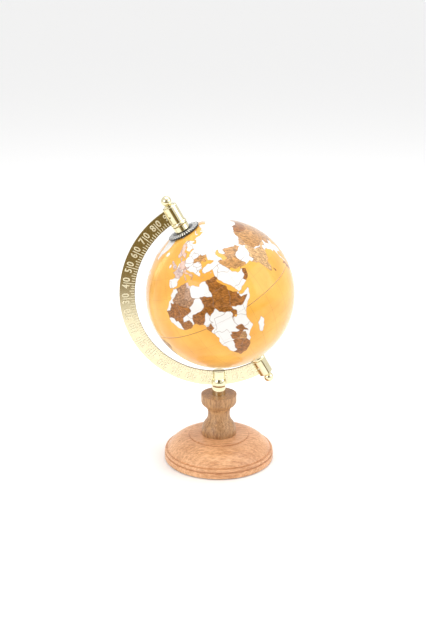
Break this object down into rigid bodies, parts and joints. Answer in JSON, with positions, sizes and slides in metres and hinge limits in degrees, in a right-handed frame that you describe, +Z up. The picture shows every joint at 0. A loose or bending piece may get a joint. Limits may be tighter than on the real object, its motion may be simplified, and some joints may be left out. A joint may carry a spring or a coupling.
{
  "type": "desk globe",
  "caption": "Small tilted terrestrial desk globe in a graduated brass semi-meridian on a turned wooden stand; the ball spins and the meridian slides in its post.",
  "frame": {"origin": "middle of the felt under the base, on the surface the globe stands on", "axes": "+Z up along the post; the semi-meridian lies in the XZ plane, the north pole leans towards -X, and the front is -Y"},
  "size_m": [0.149, 0.127, 0.237],
  "materials": {
    "felt": "pressed wool felt",
    "base_wood": "turned, thin satin varnish",
    "column_wood": "turned, thin satin varnish",
    "steel": "zinc plated",
    "brass": "polished and lacquered",
    "brass_plate": "stamped, polished and lacquered",
    "hour_disc_paint": "gloss black with pale hour marks",
    "nylon": "moulded",
    "shell": "moulded half shell",
    "printed_map": "printed paper gores under gloss varnish"
  },
  "bodies": {
    "pedestal": {"felt_pad": "felt", "wooden_base": "base_wood", "wooden_column": "column_wood", "tie_rod": "steel", "tie_rod_washer": "steel", "tie_rod_nut": "steel", "meridian_post": "brass", "post_set_screw": "steel"},
    "meridian": {"meridian_arc": "brass_plate", "north_clamp": "brass", "north_clamp_pin": "brass", "north_finial": "brass", "north_collar": "brass", "north_washer": "nylon", "south_clamp": "brass", "south_clamp_pin": "brass", "south_finial": "brass", "south_collar": "brass", "south_washer": "nylon"},
    "globe": {"north_hemisphere": "shell", "north_map": "printed_map", "north_bush": "nylon", "south_hemisphere": "shell", "south_map": "printed_map", "south_bush": "nylon", "equator_ring": "shell"},
    "hour_disc": {"hour_disc": "hour_disc_paint"}
  },
  "joints": [
    {"name": "meridian_tilt", "type": "hinge", "parent": "pedestal", "child": "meridian", "pos_m": [0, 0, 0.1532], "axis": [0, -1, 0], "range_deg": [-17, 139]},
    {"name": "globe_spin", "type": "hinge", "parent": "meridian", "child": "globe", "pos_m": [0.00097, 0, 0.15145], "axis": [-0.4848, 0, 0.8746], "continuous": true},
    {"name": "hour_disc_spin", "type": "hinge", "parent": "meridian", "child": "hour_disc", "pos_m": [0.00097, 0, 0.15145], "axis": [-0.4848, 0, 0.8746], "continuous": true}
  ]
}
